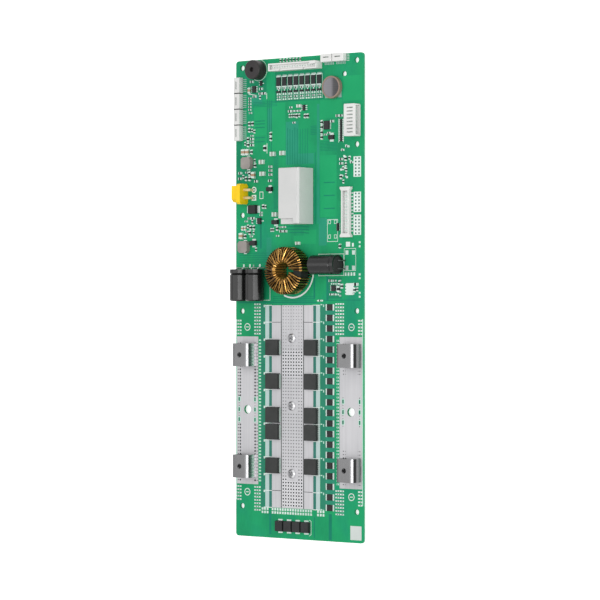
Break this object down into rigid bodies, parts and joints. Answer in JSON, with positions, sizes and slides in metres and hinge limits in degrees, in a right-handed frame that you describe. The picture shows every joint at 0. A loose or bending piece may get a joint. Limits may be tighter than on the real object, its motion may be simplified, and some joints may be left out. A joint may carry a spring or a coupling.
{
  "type": "battery management board",
  "caption": "Long green circuit board that balances and switches a battery pack, with transistors, screw terminals, a wound choke, a relay and white sockets.",
  "frame": {"origin": "centre of the rectangle of the four corner mounting holes, on the board's back face", "axes": "+Z out of the component side, +Y along the board towards the sense socket, +X across it towards the eight-way socket"},
  "size_m": [0.1, 0.3001, 0.0186],
  "materials": {
    "solder_mask": "satin",
    "tin": "satin",
    "shunt_alloy": "satin",
    "mould_black": "matte",
    "mould_grey": "matte",
    "screw_steel": "satin",
    "core_powder": "matte",
    "enamelled_copper": "gloss",
    "relay_grey": "matte",
    "buzzer_black": "matte",
    "cell_steel": "polished",
    "bung_rubber": "matte",
    "sleeve_brown": "satin",
    "can_sleeve": "gloss",
    "plug_yellow": "satin",
    "pin_gold": "gloss",
    "housing_white": "satin",
    "chip_dark": "matte",
    "chip_tan": "satin",
    "inductor_grey": "matte",
    "terminal_metal": "satin"
  },
  "bodies": {
    "root": {"backup_cell": "cell_steel", "balance_resistors": "chip_dark", "board": "solder_mask", "buzzer_case": "buzzer_black", "buzzer_pins": "tin", "capacitor_bungs": "bung_rubber", "capacitor_leads": "tin", "capacitor_left_inner": "can_sleeve", "capacitor_left_outer": "can_sleeve", "capacitor_right": "can_sleeve", "cell_sleeve": "sleeve_brown", "cell_tabs": "tin", "chip_capacitors": "chip_tan", "chip_resistors": "chip_dark", "choke_core": "core_powder", "choke_winding": "enamelled_copper", "clamp_nuts": "screw_steel", "clamp_screws": "screw_steel", "inductor_lower": "inductor_grey", "inductor_upper": "inductor_grey", "left_socket_1": "housing_white", "left_socket_2": "housing_white", "left_socket_3": "housing_white", "left_socket_4": "housing_white", "left_socket_contacts": "tin", "mosfet_01": "mould_grey", "mosfet_02": "mould_grey", "mosfet_03": "mould_grey", "mosfet_04": "mould_grey", "mosfet_05": "mould_grey", "mosfet_06": "mould_grey", "mosfet_07": "mould_grey", "mosfet_08": "mould_grey", "mosfet_09": "mould_grey", "mosfet_10": "mould_grey", "mosfet_frames": "tin", "package_bodies": "mould_black", "package_leads": "tin", "power_plug": "plug_yellow", "power_plug_pins": "pin_gold", "relay_blades": "tin", "relay_case": "relay_grey", "sense_header": "housing_white", "sense_header_pins": "tin", "shunt_coats": "mould_black", "shunt_strips": "shunt_alloy", "side_header": "housing_white", "side_header_contacts": "tin", "terminal_left_lower": "terminal_metal", "terminal_left_upper": "terminal_metal", "terminal_right_lower": "terminal_metal", "terminal_right_upper": "terminal_metal", "tinned_fields": "tin", "top_socket_1": "housing_white", "top_socket_2": "housing_white", "top_socket_contacts": "tin", "wide_socket": "housing_white", "wide_socket_pins": "tin"}
  },
  "joints": []
}
